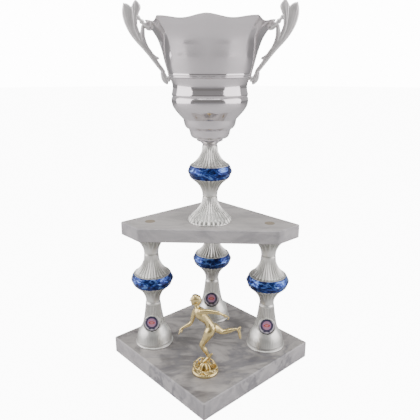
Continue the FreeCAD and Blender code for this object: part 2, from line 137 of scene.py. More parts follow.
def table_top():
    """Flat disc, 12 m in radius, as rings of points about its middle."""
    turn = once_round(96)
    radius = np.array([12.0, 4.0, 1.5, 0.5, 0.001])[:, None]
    points = np.stack([radius * np.cos(turn), radius * np.sin(turn), 0.0 * radius * turn],
                      axis=-1)
    return surface("table_top", points, capped=False)


BACKDROP_GLOW = 14.0
TABLE_GLOW_SHARE = 0.82
floor = table_top()
pale, tree, out = new_material("pale_table")
seen = add(tree, "LightPath").outputs["Is Camera Ray"]
speckle = add(tree, "TexNoise", {"Vector": add(tree, "TexCoord").outputs["Object"], "Scale": 6.0})
paint = blend(tree, speckle.outputs[0], (0.50, 0.50, 0.50, 1.0), (0.54, 0.54, 0.54, 1.0))
lacquer = add(tree, "BsdfPrincipled", {"Base Color": paint, "Roughness": 0.6})
glow = add(tree, "Emission", {"Color": (1.0, 1.0, 1.0, 1.0), "Strength": BACKDROP_GLOW})
table_mix = add(tree, "MixShader", {0: maths(tree, "MULTIPLY", seen, TABLE_GLOW_SHARE),
                                    1: lacquer.outputs[0], 2: glow.outputs[0]})
tree.links.new(table_mix.outputs[0], out.inputs["Surface"])
floor.data.materials.append(pale)

world = bpy.data.worlds.new("studio")
world.use_nodes = True
bpy.context.scene.world = world
tree = world.node_tree
tree.nodes.clear()
direction = add(tree, "TexCoord").outputs["Generated"]
across, along, up = add(tree, "SeparateXYZ", {0: direction}).outputs
room = blend(tree, between(tree, along, -0.9, 0.4), (0.26, 0.255, 0.25, 1.0),
             (0.62, 0.62, 0.63, 1.0))
room = blend(tree, between(tree, up, 0.1, 0.9), room, (0.60, 0.60, 0.61, 1.0))
walls = add(tree, "Background", {"Color": room, "Strength": 1.0})
backdrop = add(tree, "Background", {"Color": (1.0, 1.0, 1.0, 1.0), "Strength": BACKDROP_GLOW})
seen = add(tree, "LightPath").outputs["Is Camera Ray"]
world_mix = add(tree, "MixShader", {0: seen, 1: walls.outputs[0], 2: backdrop.outputs[0]})
world_out = tree.nodes.new("ShaderNodeOutputWorld")
tree.links.new(world_mix.outputs[0], world_out.inputs["Surface"])


def soft_box(name, place, target, width, height, watts, colour=(1.0, 1.0, 1.0)):
    """Rectangular area light at place, facing target."""
    lamp = bpy.data.lights.new(name, "AREA")
    lamp.shape = "RECTANGLE"
    lamp.size = width
    lamp.size_y = height
    lamp.energy = watts
    lamp.color = colour
    holder = bpy.data.objects.new(name, lamp)
    holder.location = place
    holder.rotation_euler = (Vector(target) - Vector(place)).to_track_quat("-Z", "Y").to_euler()
    holder.visible_camera = False
    bpy.context.scene.collection.objects.link(holder)


WARM = (1.0, 0.955, 0.975)
soft_box("left_box", (-1.55, -0.16, 0.85), (0, 0, 0.45), 1.9, 1.7, 33.0, WARM)
soft_box("right_box", (1.56, -0.36, 0.85), (0, 0, 0.45), 1.9, 1.7, 31.0, WARM)
soft_box("top_box", (0.0, -0.25, 1.9), (0, 0, 0.3), 1.3, 1.0, 19.0)

lens = bpy.data.cameras.new("camera")
lens.lens = 40.61
lens.sensor_width = 36.0
camera = bpy.data.objects.new("camera", lens)
camera.location = (0.0356, -0.712, 0.4757)
camera.rotation_euler = (math.radians(73.17), 0.0, math.radians(2.83))
bpy.context.scene.collection.objects.link(camera)
bpy.context.scene.camera = camera


# ---- marble slabs ----------------------------------------------------------
# Two slabs sawn from cloudy grey marble. Tops are honed to a dull gloss. Painted light: the upper
# slab's top is painted paler than the base slab's, and the sides paler than the tops. The CAD
# solids have their true shape.

STONE_DARK = linear(88, 85, 85)
STONE_MID = linear(128, 124, 121)
STONE_PALE = linear(168, 164, 160)
PAINTED_SIDE_LIGHT = linear(200, 199, 202)
PAINTED_TOP_LIGHT = linear(196, 192, 188)
VEIN = linear(82, 82, 92)

marble, tree, out = new_material("marble")
where = add(tree, "TexCoord")
grid = add(tree, "Mapping", {"Vector": where.outputs["Object"],
                             "Rotation": (0.2, 0.3, math.radians(-14.0)),
                             "Scale": (0.5, 1.0, 1.0)}).outputs[0]
cloud = add(tree, "TexNoise", {"Vector": grid, "Scale": 30.0, "Detail": 7.0, "Roughness": 0.6,
                               "Distortion": 0.9}).outputs[0]
drift = add(tree, "TexNoise", {"Vector": grid, "Scale": 11.0, "Detail": 8.0, "Roughness": 0.58,
                               "Distortion": 2.2}).outputs[0]
seam = between(tree, apart(tree, drift, 0.5),
               0.0, 0.075, 1.0, 0.0)
patch = add(tree, "TexNoise", {"Vector": grid, "Scale": 6.0, "Detail": 3.0}).outputs[0]
seam = maths(tree, "MULTIPLY", seam, between(tree, patch, 0.42, 0.62))
sugar = add(tree, "TexVoronoi", {"Vector": where.outputs["Object"], "Scale": 900.0}).outputs[0]
upward = maths(tree, "ABSOLUTE", add(tree, "SeparateXYZ", {0: where.outputs["Normal"]}).outputs[2])
honed = between(tree, upward, 0.6, 0.95)
tone = blend(tree, between(tree, cloud, 0.34, 0.64), STONE_DARK, STONE_PALE)
tone = blend(tree, 0.12, tone, STONE_MID)
up = add(tree, "SeparateXYZ", {0: where.outputs["Object"]}).outputs[2]
# Painted light: the upper slab's top is made paler than the base slab's top, which lies in the
# upper slab's shade.
painted_top_light_share = between(tree, up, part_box("base_slab")[1].z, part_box("upper_slab")[0].z, 0.0, 0.5)
tone = blend(tree, maths(tree, "MULTIPLY", honed, painted_top_light_share), tone, PAINTED_TOP_LIGHT)
# Painted light: faces that are not tops, lit more than the tops, are painted paler.
painted_side_light = maths(tree, "SUBTRACT", 1.0, honed)
tone = blend(tree, painted_side_light, tone, PAINTED_SIDE_LIGHT, "SOFT_LIGHT")
tone = blend(tree, maths(tree, "MULTIPLY", painted_side_light, 0.45), tone, PAINTED_SIDE_LIGHT)
tone = blend(tree, maths(tree, "MULTIPLY", seam, 0.6), tone, VEIN)
tone = blend(tree, maths(tree, "MULTIPLY", sugar, 0.10), tone, STONE_PALE)
relief = add(tree, "Bump", {"Height": sugar, "Strength": 0.08, "Distance": 0.0002}).outputs[0]
stone = add(tree, "BsdfPrincipled", {"Base Color": tone,
                                     "Roughness": between(tree, honed, 0.0, 1.0, 0.62, 0.30),
                                     "Normal": relief})
tree.links.new(stone.outputs[0], out.inputs["Surface"])


def dress(piece, material):
    """Gives a piece its one material."""
    piece.data.materials.clear()
    piece.data.materials.append(material)


for slab in ("base_slab", "upper_slab"):
    dress(nodes[slab], marble)


# ---- risers ----------------------------------------------------------------
# The lowest piece of each column: a hollow plated moulding, a fluted taper that swells
# into a bell on a thin flange. The boss for the badge is the next section's.

def through(points, count):
    """count points along a smooth curve through the given ones.

    Between two neighbours it is a cubic whose slope at each point is that of the
    line between the points on either side.
    """
    known = np.array(points, float)
    gone = np.concatenate([[0.0], np.cumsum(np.linalg.norm(np.diff(known, axis=0), axis=1))])
    slope = np.gradient(known, gone, axis=0)
    wanted = np.linspace(0.0, gone[-1], count)
    i = np.clip(np.searchsorted(gone, wanted, side="right") - 1, 0, len(known) - 2)
    step = (gone[i + 1] - gone[i])[:, None]
    u = (wanted - gone[i])[:, None] / step
    return ((1 + 2 * u) * (1 - u) ** 2 * known[i] + u * (1 - u) ** 2 * step * slope[i]
            + u * u * (3 - 2 * u) * known[i + 1] - u * u * (1 - u) * step * slope[i + 1])


def profile(*stretches):
    """Rows of (radius, height) along several stretches, each (points, count of rows)."""
    parts = [through(points, count) for points, count in stretches]
    return np.concatenate([parts[0]] + [part[1:] if np.allclose(part[0], before[-1]) else part
                                        for before, part in zip(parts, parts[1:])])


def ramp(value, start, end):
    """0 at start and 1 at end, eased at both."""
    u = np.clip((value - start) / (end - start), 0.0, 1.0)
    return u * u * (3 - 2 * u)


def turned(name, rows, columns, centre, cut):
    """Piece of revolution in millimetres, its profile turned about a vertical axis.

    A point's radius is the profile's, less cut(turn, radius, height).
    """
    turn = once_round(columns)[None, :]
    radius = rows[:, :1] + 0.0 * turn
    height = rows[:, 1:2] + 0.0 * turn
    depth = cut(turn, radius, height)
    radius = radius - depth
    x, y = centre
    points = np.stack([x + radius * np.cos(turn), y + radius * np.sin(turn), height], axis=-1)
    piece = surface(name, points * MM, loop=True)
    # The groove attribute, each point's cut depth from 0 to 1, carries painted shade into the flute
    # valleys.
    groove = piece.data.attributes.new("groove", "FLOAT", "POINT")
    groove_shade = np.zeros(len(piece.data.vertices), np.float32)
    deepest = max(float(depth.max()), 1e-6)
    groove_shade[:depth.size] = np.clip(depth / deepest, 0.0, 1.0).ravel()
    groove.data.foreach_set("value", groove_shade)
    piece.data.set_sharp_from_angle(angle=math.radians(38.0))
    return piece


def flutes(turn, count, sharpness=1.0):
    """Depth across concave flutes, 0 on each thin ridge and 1 in mid-flute."""
    return np.abs(np.sin(count * turn / 2)) ** sharpness


# Handled and polished metal: faint smears in the gloss, and painted shade low in any groove.
handled = bpy.data.node_groups.new("handled_metal", "ShaderNodeTree")
for label, kind, value in (("Colour", "NodeSocketColor", (0.8, 0.8, 0.8, 1.0)),
                           ("Shade", "NodeSocketColor", (0.3, 0.3, 0.3, 1.0)),
                           ("Gloss", "NodeSocketFloat", 0.12),
                           ("Smear", "NodeSocketFloat", 0.10),
                           ("Ripple", "NodeSocketFloat", 0.1),
                           ("Scale", "NodeSocketFloat", 40.0)):
    handled.interface.new_socket(label, in_out="INPUT", socket_type=kind).default_value = value
handled.interface.new_socket("Colour", in_out="OUTPUT", socket_type="NodeSocketColor")
handled.interface.new_socket("Roughness", in_out="OUTPUT", socket_type="NodeSocketFloat")
handled.interface.new_socket("Normal", in_out="OUTPUT", socket_type="NodeSocketVector")
given = handled.nodes.new("NodeGroupInput").outputs
spot = add(handled, "TexCoord").outputs["Object"]
smear = add(handled, "TexNoise", {"Vector": spot, "Scale": given["Scale"], "Detail": 5.0,
                                  "Distortion": 0.8}).outputs[0]
fine = add(handled, "TexNoise", {"Vector": spot, "Scale": 1400.0, "Detail": 2.0}).outputs[0]
low = add(handled, "Attribute", attribute_name="groove").outputs["Fac"]
# Painted shade: the colour goes towards Shade low in the grooves, darkening the flutes' valleys.
colour = blend(handled, low, given["Colour"], given["Shade"])
colour = blend(handled, maths(handled, "MULTIPLY", smear, 0.12), colour, given["Shade"])
uneven = maths(handled, "MULTIPLY", between(handled, smear, 0.35, 0.75), given["Smear"])
wave = maths(handled, "ADD", maths(handled, "MULTIPLY", smear, 6.0), fine)
ripple = add(handled, "Bump", {"Height": wave, "Strength": given["Ripple"], "Distance": 0.0002})
taken = handled.nodes.new("NodeGroupOutput").inputs
handled.links.new(colour, taken["Colour"])
handled.links.new(maths(handled, "ADD", given["Gloss"], uneven), taken["Roughness"])
handled.links.new(ripple.outputs[0], taken["Normal"])


def metal(name, colour, shade, gloss, smear, ripple, scale, coat=0.0):
    """A metallic material that takes its smears and painted groove shade from the shared group."""
    material, tree, out = new_material(name)
    effect = add(tree, "Group", node_tree=handled)
    for label, value in (("Colour", colour), ("Shade", shade), ("Gloss", gloss),
                         ("Smear", smear), ("Ripple", ripple), ("Scale", scale)):
        effect.inputs[label].default_value = value
    shader = add(tree, "BsdfPrincipled", {"Base Color": effect.outputs["Colour"],
                                          "Roughness": effect.outputs["Roughness"],
                                          "Normal": effect.outputs["Normal"],
                                          "Metallic": 1.0, "Coat Weight": coat,
                                          "Coat Roughness": 0.05})
    tree.links.new(shader.outputs[0], out.inputs["Surface"])
    return material


plated = metal("plated_plastic", linear(229, 229, 224), linear(172, 172, 166), 0.33, 0.12,
               0.16, 60.0, 0.25)

COLUMNS = {side: (np.array(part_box(side + "_rod")[0]) + np.array(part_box(side + "_rod")[1]))[:2]
           / 2 / MM for side in ("left", "right", "back")}
RISER_FLUTES = 32
RISER_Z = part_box("left_riser")[0].z / MM
ROD_HOLE = 3.4
riser_rows = profile(
    ([(ROD_HOLE, 72.0), (ROD_HOLE, 75.0)], 2),
    ([(ROD_HOLE, 75.0), (10.6, 75.0)], 2),
    ([(10.6, 75.0), (10.9, 74.6), (12.2, 73.4), (12.4, 72.6)], 6),
    ([(12.4, 72.6), (12.8, 69.6), (13.4, 64.4), (14.2, 58.4), (15.2, 52.0), (16.3, 45.4),
      (18.0, 37.0), (19.4, 31.8)], 56),
    ([(19.4, 31.8), (21.6, 27.6), (23.6, 24.4), (25.6, 21.0), (27.4, 16.8), (28.7, 12.4),
      (29.6, 8.6), (29.9, 6.8)], 36),
    ([(29.9, 6.8), (30.0, 6.2), (29.7, 5.6)], 4),
    ([(29.7, 5.6), (29.6, 3.4), (29.9, 2.6)], 4),
    ([(29.9, 2.6), (30.9, 2.1), (31.3, 1.5), (31.3, 0.4), (31.0, 0.0)], 8),
    ([(31.0, 0.0), (28.6, 0.0)], 2),
    ([(28.6, 0.0), (27.9, 3.0), (26.6, 11.0), (20.0, 25.0), (16.2, 36.0), (12.3, 56.0),
      (10.0, 72.0)], 12),
    ([(10.0, 72.0), (ROD_HOLE, 72.0)], 2))[::-1]


def riser_cut(turn, radius, height):
    """Flutes up the outside of the taper, and twice as many faint ones round the bell.

    The outside is where the radius is more than a line of radii between the two walls.
    """
    outer = radius > np.interp(height, [0.0, 12.0, 25.0, 34.0, 58.0, 75.0],
                               [29.2, 27.6, 21.6, 17.4, 12.9, 9.0])
    taper = 0.55 * ramp(height, 30.0, 38.0) * (1.0 - ramp(height, 70.0, 72.6))
    bell = 0.22 * ramp(height, 7.2, 9.0) * (1.0 - ramp(height, 18.0, 25.0))
    return outer * (taper * flutes(turn, RISER_FLUTES) + bell * flutes(turn, RISER_FLUTES * 2))


for side, centre in COLUMNS.items():
    rows = riser_rows + [0.0, RISER_Z]
    riser = turned(side + "_riser_moulding", rows, 320, centre,
                   lambda turn, radius, height: riser_cut(turn, radius, height - RISER_Z))
    dress(riser, plated)
    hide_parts(side + "_riser")
    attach(riser, "root")


# ---- badges ----------------------------------------------------------------
# A printed disc under a clear resin dome, glued in the recess of each riser's boss.
# The print is a plain rosette: a purple ring with two ribbon tails on a silver ground.

BADGE_R = 12.7
BADGE_THICK = 1.4
BADGE_DOME = 0.9
BADGE_TILT = math.radians(12.0)
BADGE_UP = 42.0
BADGE_OUT = 20.5
BOSS_R = 14.4
ROSETTE_UP = 2.6
OVAL = 0.42
FACE_OUT = np.array([0.0, -math.cos(BADGE_TILT), math.sin(BADGE_TILT)])
FACE_UP = np.array([0.0, math.sin(BADGE_TILT), math.cos(BADGE_TILT)])


def badge_middle(centre):
    """Middle of the badge's face on the riser whose axis is at centre."""
    return np.array([centre[0], centre[1] - BADGE_OUT, RISER_Z + BADGE_UP])


def on_badge(rows, centre):
    """Points of a profile of (radius, distance outwards) turned about the badge's own axis."""
    turn = once_round(96)
    radius, out = rows[:, 0][:, None, None], rows[:, 1][:, None, None]
    across = np.cos(turn)[:, None] * np.array([1.0, 0.0, 0.0]) + np.sin(turn)[:, None] * FACE_UP
    return (badge_middle(centre) + radius * across + out * FACE_OUT) * MM


def face_map(piece, centre):
    """A UV map that lays the badge's face flat, 0 to 1 across its diameter."""
    places = np.zeros(len(piece.data.vertices) * 3)
    piece.data.vertices.foreach_get("co", places)
    away = places.reshape(-1, 3) / MM - badge_middle(centre)
    flat = np.stack([away[:, 0], away @ FACE_UP], axis=-1) / (2 * BADGE_R) + 0.5
    corners = np.zeros(len(piece.data.loops), np.int32)
    piece.data.loops.foreach_get("vertex_index", corners)
    piece.data.uv_layers.new(name="face").data.foreach_set("uv", flat[corners].ravel())


badge_print, tree, out = new_material("badge_print")
flat = add(tree, "UVMap", uv_map="face").outputs[0]
flat = add(tree, "Mapping", {"Vector": flat, "Location": (-BADGE_R, -BADGE_R, 0.0),
                             "Scale": (2 * BADGE_R, 2 * BADGE_R, 1.0)}).outputs[0]
right, high, _ = add(tree, "SeparateXYZ", {0: flat}).outputs
far = add(tree, "VectorMath", {0: flat, 1: (0.0, ROSETTE_UP, 0.0)}, operation="DISTANCE")
far = far.outputs["Value"]
flecks = add(tree, "TexNoise", {"Vector": flat, "Scale": 1.1, "Detail": 4.0}).outputs[0]
picture = blend(tree, flecks, linear(140, 134, 148), linear(205, 200, 208))
inside = between(tree, far, 7.3, 6.9)
pink = blend(tree, between(tree, far, 0.0, 6.0), linear(200, 128, 128), linear(168, 118, 150))
picture = blend(tree, inside, picture, pink)
track = add(tree, "Mapping", {"Vector": flat, "Location": (0.0, -ROSETTE_UP / OVAL, 0.0),
                              "Scale": (1.0, 1 / OVAL, 1.0)}).outputs[0]
oval = add(tree, "VectorMath", {0: track}, operation="LENGTH").outputs["Value"]
lane = apart(tree, oval, 4.1)
picture = blend(tree, between(tree, lane, 1.5, 0.9), picture, linear(176, 44, 40))
band = apart(tree, far, 8.7)
purple = blend(tree, between(tree, far, 6.8, 9.4), linear(56, 22, 84), linear(18, 14, 54))
picture = blend(tree, between(tree, band, 1.85, 1.5), picture, purple)
side = maths(tree, "ABSOLUTE", right)
drop = maths(tree, "SUBTRACT", -4.4, high)
lean = maths(tree, "SUBTRACT", side, maths(tree, "MULTIPLY_ADD", drop, 0.42, 1.9))
tail = between(tree, maths(tree, "ABSOLUTE", lean), 2.3, 1.9)
tail = maths(tree, "MULTIPLY", tail, between(tree, drop, -0.3, 0.2))
tail = maths(tree, "MULTIPLY", tail, between(tree, drop, 4.6, 4.2))
picture = blend(tree, tail, picture, linear(32, 16, 62))
# Painted shadow: a dark crescent round the lower edge of the face, where the boss's recess shades
# it.
shifted = add(tree, "VectorMath", {0: flat, 1: (0.0, 2.2, 0.0)}, operation="DISTANCE")
painted_shadow_crescent = between(tree, shifted.outputs["Value"], 12.4, 12.9)
picture = blend(tree, painted_shadow_crescent, picture, linear(44, 48, 42))
resin = add(tree, "BsdfPrincipled", {"Base Color": picture,
                                     "Roughness": between(tree, flecks, 0.2, 0.8, 0.30, 0.42),
                                     "Coat Weight": 1.0, "Coat Roughness": 0.04})
tree.links.new(resin.outputs[0], out.inputs["Surface"])

badge_rows = profile(([(0.2, -BADGE_THICK), (BADGE_R, -BADGE_THICK)], 6),
                     ([(BADGE_R, -BADGE_THICK), (BADGE_R, -0.2)], 4),
                     ([(BADGE_R, -0.2), (12.4, 0.25), (9.0, 0.62), (4.5, 0.84), (0.2, BADGE_DOME)],
                      22))
boss_rows = profile(([(8.0, -13.0), (BOSS_R - 0.9, -13.0), (BOSS_R - 0.3, -6.0), (BOSS_R, -1.4)],
                     10),
                    ([(BOSS_R, -1.4), (14.2, -0.2), (13.7, 0.35), (13.1, 0.1), (12.8, -0.6)], 12),
                    ([(12.8, -0.6), (12.8, -BADGE_THICK), (8.0, -BADGE_THICK)], 5))
for side, centre in COLUMNS.items():
    badge = surface(side + "_badge_disc", on_badge(badge_rows, centre))
    face_map(badge, centre)
    dress(badge, badge_print)
    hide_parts(side + "_badge")
    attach(badge, "root")
    boss = surface(side + "_riser_boss", on_badge(boss_rows, centre), loop=True)
    dress(boss, plated)
    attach(boss, "root")


# ---- goblets ---------------------------------------------------------------
# Hollow plated mouldings that flare upwards. Each has a smooth foot, and flutes
# that gather into pairs half-way up and end as petals under the ring or slab.

FLUTES = 32
GOBLET_TALL = 31.8
GOBLET_INNER_ROWS = 14
goblet_rows = profile(
    ([(ROD_HOLE, 0.0), (10.2, 0.0)], 3),
    ([(10.2, 0.0), (10.5, 0.3), (11.6, 1.2), (11.8, 1.8)], 5),
    ([(11.8, 1.8), (11.9, 4.8), (12.3, 6.8), (12.8, 8.8), (14.4, 12.8), (16.4, 16.8),
      (19.2, 20.8), (22.9, 24.8), (27.4, 28.8), (30.2, 31.2)], 46),
    ([(30.2, 31.2), (30.0, 31.7), (29.2, 31.8)], 4),
    ([(29.2, 31.8), (28.2, 31.4), (20.9, 24.8), (14.4, 16.8), (10.6, 8.8), (9.2, 3.0)], 12),
    ([(9.2, 3.0), (ROD_HOLE, 3.0)], 2))


def goblet_cut(turn, height, tall):
    """Petal flutes: half as many, broad, from a third of the height, and all of them above."""
    part = height / tall
    broad = 0.75 * ramp(part, 0.22, 0.5) * (1.0 - ramp(part, 0.62, 0.9))
    close = 1.25 * ramp(part, 0.45, 0.92)
    return broad * flutes(turn, FLUTES // 2) + close * flutes(turn, FLUTES)


def goblet(name, node, centre, tall):
    """One goblet, its rows stretched to tall and stood where its CAD solid stands."""
    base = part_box(node)[0].z / MM
    outer = len(goblet_rows) - GOBLET_INNER_ROWS
    rows = goblet_rows * [1.0, tall / GOBLET_TALL] + [0.0, base]
    mask = (np.arange(len(rows)) < outer)[:, None]
    piece = turned(name, rows, 320, centre,
                   lambda turn, radius, height: mask * goblet_cut(turn, height - base, tall))
    dress(piece, plated)
    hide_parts(node)
    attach(piece, "root")


STEM = tuple(((np.array(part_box("stem_rod")[0]) + np.array(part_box("stem_rod")[1])) / 2 / MM)[:2])
UPPER_TALL = (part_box("left_upper_goblet")[1].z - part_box("left_upper_goblet")[0].z) / MM
STEM_TALL = (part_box("stem_goblet")[1].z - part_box("stem_goblet")[0].z) / MM
for side, centre in COLUMNS.items():
    goblet(side + "_lower_goblet_moulding", side + "_lower_goblet", centre, GOBLET_TALL)
    goblet(side + "_upper_goblet_moulding", side + "_upper_goblet", centre, UPPER_TALL)
goblet("stem_goblet_moulding", "stem_goblet", STEM, STEM_TALL)


# ---- coloured rings --------------------------------------------------------
# Thick moulded rings in a marbled blue plastic, swirled like glass, with a blunt crest
# at mid-height and a web inside for the rod. A spigot at each end fits the mouldings.

ring_rows = profile(
    ([(ROD_HOLE, 8.3), (20.0, 8.3)], 3),
    ([(20.0, 8.3), (20.0, -2.0)], 3),
    ([(20.0, -2.0), (22.0, -2.0)], 2),
    ([(22.0, -2.0), (22.0, 0.0)], 2),
    ([(22.0, 0.0), (29.9, 0.0)], 4),
    ([(29.9, 0.0), (30.6, 0.3), (31.9, 2.6), (32.7, 5.0), (33.8, 7.4), (34.6, 9.6),
      (33.6, 11.6), (32.6, 14.2), (31.5, 16.8), (30.4, 18.6), (29.8, 19.0)], 40),
    ([(29.8, 19.0), (22.0, 19.0)], 4),
    ([(22.0, 19.0), (22.0, 21.0)], 2),
    ([(22.0, 21.0), (20.0, 21.0)], 2),
    ([(20.0, 21.0), (20.0, 10.7)], 3),
    ([(20.0, 10.7), (ROD_HOLE, 10.7)], 3))

marbled, tree, out = new_material("marbled_blue")
spot = add(tree, "TexCoord").outputs["Object"]
long = add(tree, "Mapping", {"Vector": spot, "Scale": (1.0, 1.0, 2.2),
                             "Rotation": (0.5, 0.35, 0.0)}).outputs[0]
swirl = add(tree, "TexNoise", {"Vector": long, "Scale": 52.0, "Detail": 5.0, "Roughness": 0.55,
                               "Distortion": 2.6}).outputs[0]
thread = add(tree, "TexNoise", {"Vector": long, "Scale": 110.0, "Detail": 4.0,
                                "Distortion": 3.4}).outputs[0]
hue = blend(tree, between(tree, swirl, 0.38, 0.60), linear(9, 14, 60), linear(36, 62, 146))
hue = blend(tree, between(tree, swirl, 0.52, 0.68), hue, linear(112, 154, 222))
line = apart(tree, thread, 0.5)
hue = blend(tree, maths(tree, "MULTIPLY", between(tree, line, 0.05, 0.0), 0.35), hue,
            linear(60, 100, 176))
dimple = add(tree, "Bump", {"Height": swirl, "Strength": 0.22, "Distance": 0.0006}).outputs[0]
glass = add(tree, "BsdfPrincipled", {"Base Color": hue,
                                     "Roughness": between(tree, thread, 0.3, 0.7, 0.24, 0.34),
                                     "Normal": dimple, "Metallic": 0.8, "Coat Weight": 0.12,
                                     "Coat Roughness": 0.1})
tree.links.new(glass.outputs[0], out.inputs["Surface"])


def ring_cut(turn, radius, height):
    """Slight unevenness of the crest, a sum of slow waves, as in poured plastic."""
    waves = (np.sin(7 * turn + 0.5 * height) + np.sin(12 * turn - 0.35 * height)
             + 0.7 * np.sin(21 * turn + 0.2 * height))
    return (radius > 30.5) * 0.13 * (waves + 2.0)


for side, centre in [*COLUMNS.items(), ("stem", STEM)]:
    node = side + "_ring"
    band = turned(side + "_ring_band", ring_rows + [0.0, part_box(node)[0].z / MM + 2.0], 240,
                  centre, ring_cut)
    dress(band, marbled)
    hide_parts(node)
    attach(band, "root")


# ---- cones and stem foot ---------------------------------------------------
# Hollow plated mouldings that narrow upwards. Their flutes run full depth at the
# wide end, where each ridge ends in a rounded point, and die out at the neck.

CONE_TALL = 34.0
CONE_INNER_ROWS = 16
NECK_ROWS = 5
cone_rows = profile(
    ([(ROD_HOLE, 31.0), (9.0, 31.0)], 2),
    ([(9.0, 31.0), (9.6, 27.0), (11.1, 21.6), (14.8, 13.2), (21.0, 5.6), (27.9, 0.0)], 12),
    ([(27.9, 0.0), (28.8, 0.0)], 2),
    ([(28.8, 0.0), (29.6, 0.2), (29.5, 0.7)], 3),
    ([(29.5, 0.7), (27.2, 2.0), (25.2, 4.0), (23.0, 6.0), (21.2, 8.0), (19.5, 10.0), (18.1, 12.0),
      (16.8, 14.0), (14.8, 18.0), (13.1, 22.0), (12.3, 26.0), (12.1, 28.0), (11.9, 30.6),
      (11.8, 32.6)], 50),
    ([(11.8, 32.6), (11.4, 33.2), (10.2, 34.0)], 4),
    ([(10.2, 34.0), (ROD_HOLE, 34.0)], 2))
FOOT_TALL = 42.0
FOOT_INNER_ROWS = 17
foot_rows = profile(
    ([(ROD_HOLE, 39.0), (9.2, 39.0)], 2),
    ([(9.2, 39.0), (10.4, 32.5), (14.0, 22.9), (18.6, 16.8), (27.7, 7.4), (32.7, 0.0)], 12),
    ([(32.7, 0.0), (33.8, 0.0)], 2),
    ([(33.8, 0.0), (34.7, 0.3), (34.6, 1.4)], 4),
    ([(34.6, 1.4), (34.1, 3.6), (33.0, 5.8), (29.7, 9.4), (25.4, 14.2), (20.6, 18.8),
      (16.0, 24.9), (13.6, 29.6), (12.5, 34.4), (12.0, 38.0), (11.8, 40.6)], 60),
    ([(11.8, 40.6), (11.4, 41.2), (10.2, 42.0)], 4),
    ([(10.2, 42.0), (ROD_HOLE, 42.0)], 2))


def flared_down(name, node, rows, tall, centre, inner_rows, deep):
    """A cone or foot: flutes on its outer rows below the neck, deepest low down."""
    low, high = (corner.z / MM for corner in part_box(node))
    stretched = rows * [1.0, (high - low) / tall] + [0.0, low]
    place = np.arange(len(rows))
    mask = ((place >= inner_rows) & (place < len(rows) - NECK_ROWS))[:, None]

    def cut(turn, radius, height):
        part = (height - low) / (high - low)
        lip = ramp(part, -0.01, 0.035)
        fade = 1.0 - ramp(part, 0.45, 0.97)
        petals = 0.35 * ramp(part, 0.02, 0.1) * (1.0 - ramp(part, 0.25, 0.5))
        return mask * (deep * lip * (0.15 + 0.85 * fade) * flutes(turn, FLUTES)
                       + petals * flutes(turn, FLUTES // 2))

    piece = turned(name, stretched, 320, centre, cut)
    dress(piece, plated)
    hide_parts(node)
    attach(piece, "root")


for side, centre in [*COLUMNS.items(), ("stem", STEM)]:
    flared_down(side + "_cone_moulding", side + "_cone", cone_rows, CONE_TALL, centre,
                CONE_INNER_ROWS, 1.15)
flared_down("stem_foot_moulding", "stem_foot", foot_rows, FOOT_TALL, STEM,
            FOOT_INNER_ROWS, 1.2)


# ---- rods, nuts, washers and screws ----------------------------------------
# Zinc-plated steel, hidden in the counterbores and inside the bowl. The CAD solids
# are the pieces themselves, and only need their dull, slightly yellow plating.

zinc = metal("zinc_plate", linear(196, 194, 182), linear(120, 116, 104), 0.34, 0.16, 0.25, 220.0)
for name, node in nodes.items():
    if name.endswith(("_rod", "_stud")) or "washer" in name or "nut" in name or "screws" in name:
        dress(node, zinc)


# ---- hole caps -------------------------------------------------------------
# Press-fit tan plastic plugs, finely grained, flush in the upper slab's top.

tan, tree, out = new_material("tan_plastic")
spot = add(tree, "TexCoord").outputs["Object"]
speck = add(tree, "TexNoise", {"Vector": spot, "Scale": 420.0, "Detail": 3.0}).outputs[0]
broad = add(tree, "TexNoise", {"Vector": spot, "Scale": 60.0}).outputs[0]
hue = blend(tree, speck, linear(112, 100, 82), linear(150, 138, 118))
hue = blend(tree, maths(tree, "MULTIPLY", broad, 0.3), hue, linear(170, 160, 144))
grain = add(tree, "Bump", {"Height": speck, "Strength": 0.3, "Distance": 0.0003}).outputs[0]
cap_skin = add(tree, "BsdfPrincipled", {"Base Color": hue, "Normal": grain,
                                        "Roughness": between(tree, speck, 0.3, 0.7, 0.5, 0.62)})
tree.links.new(cap_skin.outputs[0], out.inputs["Surface"])
for side in COLUMNS:
    dress(nodes[side + "_hole_cap"], tan)


# ---- collar ----------------------------------------------------------------
# Small spun dish between stem and bowl, its lip pressed into low scallops.

silvered = metal("silver_plate", linear(222, 217, 219), linear(150, 148, 150), 0.07, 0.05, 0.04,
                 26.0)
COLLAR_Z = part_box("cup_collar")[0].z / MM
collar_rows = profile(
    ([(ROD_HOLE, 0.0), (10.6, 0.0)], 3),
    ([(10.6, 0.0), (11.2, 0.2), (11.6, 1.2), (13.0, 2.9), (15.8, 4.8), (18.4, 5.9)], 20),
    ([(18.4, 5.9), (19.6, 6.2), (20.1, 6.9), (19.8, 7.6), (19.2, 7.9)], 10),
    ([(19.2, 7.9), (19.6, 8.8), (20.2, 9.8)], 5),
    ([(20.2, 9.8), (18.7, 9.8)], 2),
    ([(18.7, 9.8), (17.6, 8.2), (14.4, 6.2), (11.4, 4.2), (9.7, 3.0)], 8),
    ([(9.7, 3.0), (ROD_HOLE, 3.0)], 2)) + [0.0, COLLAR_Z]
scallop = turned("collar_dish", collar_rows, 192, STEM,
                 lambda turn, radius, height: ramp(radius, 16.5, 19.0)
                 * (height < COLLAR_Z + 7.8) * 0.8 * flutes(turn + np.pi / 2, 16))
dress(scallop, silvered)
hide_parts("cup_collar")
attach(scallop, "root")


# ---- bowl ------------------------------------------------------------------
# Thin spun bowl, silver-plated and polished: round, swelling tiers below, and above
# the bead a flare pressed to eight corners, its edge rolled over a wire.

BOWL_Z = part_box("cup_bowl")[0].z / MM
RIM_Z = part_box("cup_bowl")[1].z / MM
RIM_UP = RIM_Z - BOWL_Z
ROUND_UP = 114.4
CORNERS = 8
PANEL = 2 * np.pi / CORNERS
RIM_DIP = 3.8
